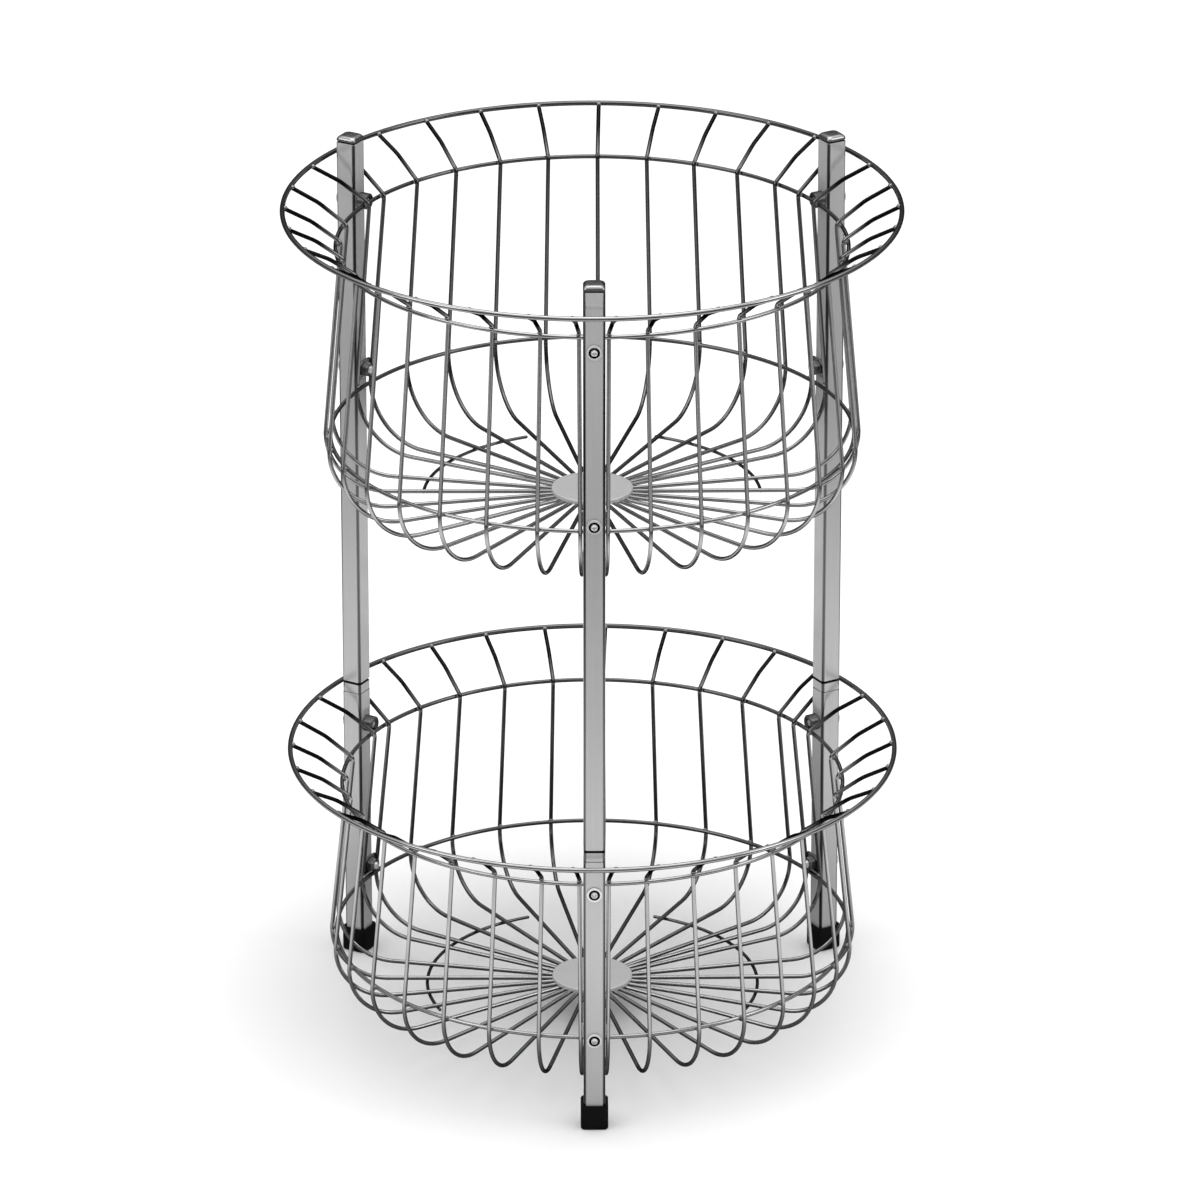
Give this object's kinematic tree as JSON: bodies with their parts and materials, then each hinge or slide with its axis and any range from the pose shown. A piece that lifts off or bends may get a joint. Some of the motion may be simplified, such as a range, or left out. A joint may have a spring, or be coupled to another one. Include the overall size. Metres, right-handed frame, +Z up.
{
  "type": "vegetable rack",
  "caption": "Round wire vegetable rack: open rib baskets with flared rims, screwed to square posts and stacked in tiers, the upper tier lifting off the lower.",
  "frame": {"origin": "on the floor, under the middle of the rims", "axes": "+Z up, the front post on -Y, +X to the right of a person who faces the front post"},
  "size_m": [0.363, 0.363, 0.5281],
  "materials": {
    "wire": "polished bright steel wire with small weld spots where wires meet",
    "post": "satin square tube, brushed along its length",
    "cap": "smooth bright cap",
    "screw": "bright plated fastener",
    "shoe": "black moulded plastic"
  },
  "bodies": {
    "lower_tier": {"lower_basket_cage": "wire", "lower_rim_ring": "wire", "lower_neck_ring": "wire", "lower_low_ring": "wire", "lower_base_arc_left": "wire", "lower_base_arc_right": "wire", "lower_post_front": "post", "lower_post_right": "post", "lower_post_left": "post", "stacking_cap_front": "cap", "stacking_cap_right": "cap", "stacking_cap_left": "cap", "lower_neck_screw_front": "screw", "lower_neck_screw_right": "screw", "lower_neck_screw_left": "screw", "lower_neck_boss_front": "screw", "lower_neck_boss_right": "screw", "lower_neck_boss_left": "screw", "lower_wall_screw_front": "screw", "lower_wall_screw_right": "screw", "lower_wall_screw_left": "screw", "lower_wall_nut_front": "screw", "lower_wall_nut_right": "screw", "lower_wall_nut_left": "screw", "foot_front": "shoe", "foot_right": "shoe", "foot_left": "shoe"},
    "upper_tier": {"upper_basket_cage": "wire", "upper_rim_ring": "wire", "upper_neck_ring": "wire", "upper_low_ring": "wire", "upper_base_arc_left": "wire", "upper_base_arc_right": "wire", "upper_post_front": "post", "upper_post_right": "post", "upper_post_left": "post", "post_cap_front": "cap", "post_cap_right": "cap", "post_cap_left": "cap", "upper_neck_screw_front": "screw", "upper_neck_screw_right": "screw", "upper_neck_screw_left": "screw", "upper_neck_boss_front": "screw", "upper_neck_boss_right": "screw", "upper_neck_boss_left": "screw", "upper_wall_screw_front": "screw", "upper_wall_screw_right": "screw", "upper_wall_screw_left": "screw", "upper_wall_nut_front": "screw", "upper_wall_nut_right": "screw", "upper_wall_nut_left": "screw"}
  },
  "joints": [
    {"name": "upper_tier_lift", "type": "slide", "parent": "lower_tier", "child": "upper_tier", "axis": [0, 0, 1], "range_m": [0, 0.15]}
  ]
}
